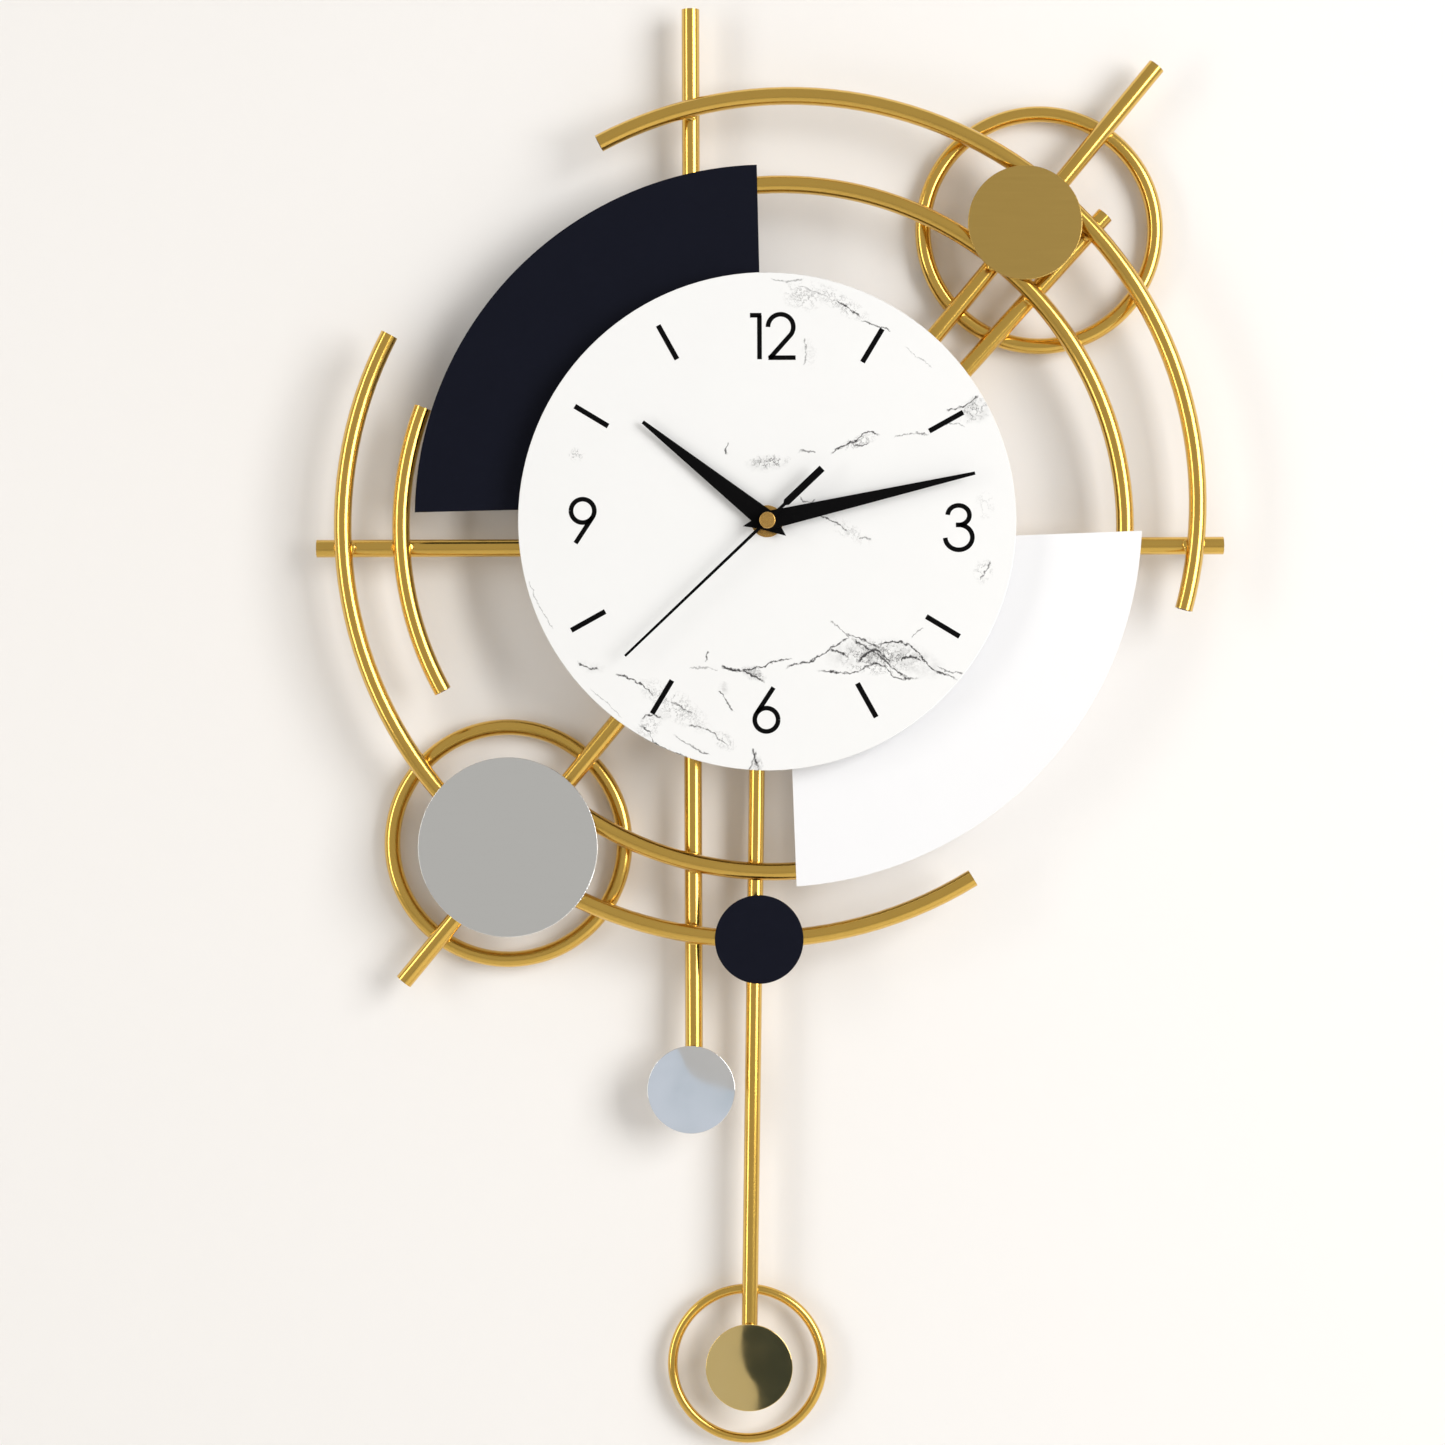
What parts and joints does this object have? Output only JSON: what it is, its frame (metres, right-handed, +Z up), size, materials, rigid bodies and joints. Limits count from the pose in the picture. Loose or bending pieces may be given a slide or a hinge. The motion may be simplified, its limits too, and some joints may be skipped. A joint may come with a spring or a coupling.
{
  "type": "pendulum wall clock",
  "caption": "Wall clock with a round marble-print dial on an open frame of gold bars, arcs, rings and discs, and a long swinging pendulum with a ring and disc bob.",
  "frame": {"origin": "centre of the hanger's keyhole entry, on the wall plane", "axes": "+Z up, +Y into the wall, so the dial faces -Y, +X to the right of someone reading the clock"},
  "size_m": [0.5074, 0.0575, 0.8041],
  "materials": {
    "satin_gold": "satin gold powder coat",
    "brushed_gold": "fine brushed, gold tinted",
    "brushed_silver": "fine satin silver",
    "navy_paint": "satin navy",
    "white_paint": "satin white",
    "silver_mirror": "polished",
    "gold_mirror": "polished gold",
    "marble_print_board": "white board with a satin marble print",
    "black_hands": "matte black paint",
    "brass": "turned",
    "zinc_steel": "zinc plated",
    "bumper_rubber": "matte",
    "black_plastic": "fine spark texture",
    "battery_jacket": "plain printed sleeve",
    "circuit_laminate": "lacquered",
    "copper_winding": "enamelled wire",
    "gear_acetal": "natural acetal",
    "magnet": "nickel plated"
  },
  "bodies": {
    "frame": {"battery": "battery_jacket", "battery_contacts": "zinc_steel", "circuit_board": "circuit_laminate", "cover_screws": "zinc_steel", "dial": "marble_print_board", "dial_standoffs": "zinc_steel", "dial_washer": "brass", "hex_nut": "brass", "horizontal_bar_left": "satin_gold", "horizontal_bar_right": "satin_gold", "inner_left_arc": "satin_gold", "inner_lower_arc": "satin_gold", "inner_upper_arc": "satin_gold", "long_diagonal_lower": "satin_gold", "long_diagonal_upper": "satin_gold", "lower_grey_disc": "brushed_silver", "lower_ring": "satin_gold", "motor_coil": "copper_winding", "mounting_ring": "satin_gold", "movement_cover": "black_plastic", "movement_housing": "black_plastic", "navy_disc": "navy_paint", "navy_panel": "navy_paint", "outer_lower_arc": "satin_gold", "outer_upper_arc": "satin_gold", "panel_standoffs": "zinc_steel", "pendulum_coil": "copper_winding", "pendulum_pivot_pin": "zinc_steel", "plate_screws": "zinc_steel", "short_diagonal": "satin_gold", "silver_disc": "silver_mirror", "stator": "zinc_steel", "threaded_bushing": "brass", "train_plate": "black_plastic", "upper_gold_disc": "brushed_gold", "upper_ring": "satin_gold", "vertical_bar_lower": "satin_gold", "vertical_bar_upper": "satin_gold", "wall_feet": "bumper_rubber", "wall_hanger": "satin_gold", "white_panel": "white_paint"},
    "rotor": {"rotor": "gear_acetal"},
    "intermediate": {"intermediate_wheel": "gear_acetal"},
    "second_train": {"second_wheel": "gear_acetal", "second_hand": "black_hands", "second_hand_cap": "brass"},
    "third": {"third_wheel": "gear_acetal"},
    "minute_train": {"centre_wheel": "gear_acetal", "minute_hand": "black_hands"},
    "motion_work": {"minute_wheel": "gear_acetal"},
    "hour_train": {"hour_wheel": "gear_acetal", "hour_hand": "black_hands"},
    "setting": {"setting_knob": "gear_acetal"},
    "pendulum": {"pendulum_hanger": "black_plastic", "pendulum_rod": "satin_gold", "pendulum_ring": "satin_gold", "pendulum_disc": "gold_mirror", "pendulum_magnet": "magnet"}
  },
  "joints": [
    {"name": "second_spin", "type": "hinge", "parent": "frame", "child": "second_train", "pos_m": [0.002, -0.0275, -0.083], "axis": [0, 1, 0], "continuous": true},
    {"name": "rotor_spin", "type": "hinge", "parent": "frame", "child": "rotor", "pos_m": [0.0197, -0.0275, -0.083], "axis": [0, 1, 0], "continuous": true},
    {"name": "intermediate_spin", "type": "hinge", "parent": "frame", "child": "intermediate", "pos_m": [0.0125, -0.0275, -0.083], "axis": [0, 1, 0], "continuous": true},
    {"name": "third_spin", "type": "hinge", "parent": "frame", "child": "third", "pos_m": [-0.0031, -0.0285, -0.07417], "axis": [0, 1, 0], "continuous": true},
    {"name": "minute_spin", "type": "hinge", "parent": "frame", "child": "minute_train", "pos_m": [0.002, -0.0305, -0.083], "axis": [0, 1, 0], "continuous": true},
    {"name": "motion_work_spin", "type": "hinge", "parent": "frame", "child": "motion_work", "pos_m": [-0.0016, -0.0335, -0.08923], "axis": [0, 1, 0], "continuous": true},
    {"name": "hour_spin", "type": "hinge", "parent": "frame", "child": "hour_train", "pos_m": [0.002, -0.0345, -0.083], "axis": [0, 1, 0], "continuous": true},
    {"name": "setting_spin", "type": "hinge", "parent": "frame", "child": "setting", "pos_m": [-0.00783, -0.0225, -0.09284], "axis": [0, 1, 0], "continuous": true},
    {"name": "pendulum_swing", "type": "hinge", "parent": "frame", "child": "pendulum", "pos_m": [-0.008, -0.0155, -0.121], "axis": [0, 1, 0], "range_deg": [-4, 4]}
  ],
  "couplings": [
    {"joint": "rotor_spin", "follows": "second_spin", "ratio": 30},
    {"joint": "intermediate_spin", "follows": "second_spin", "ratio": -6},
    {"joint": "third_spin", "follows": "second_spin", "ratio": -0.13333},
    {"joint": "minute_spin", "follows": "second_spin", "ratio": 0.016667},
    {"joint": "motion_work_spin", "follows": "second_spin", "ratio": -0.0055556},
    {"joint": "hour_spin", "follows": "second_spin", "ratio": 0.0013889},
    {"joint": "setting_spin", "follows": "second_spin", "ratio": 0.016667}
  ]
}
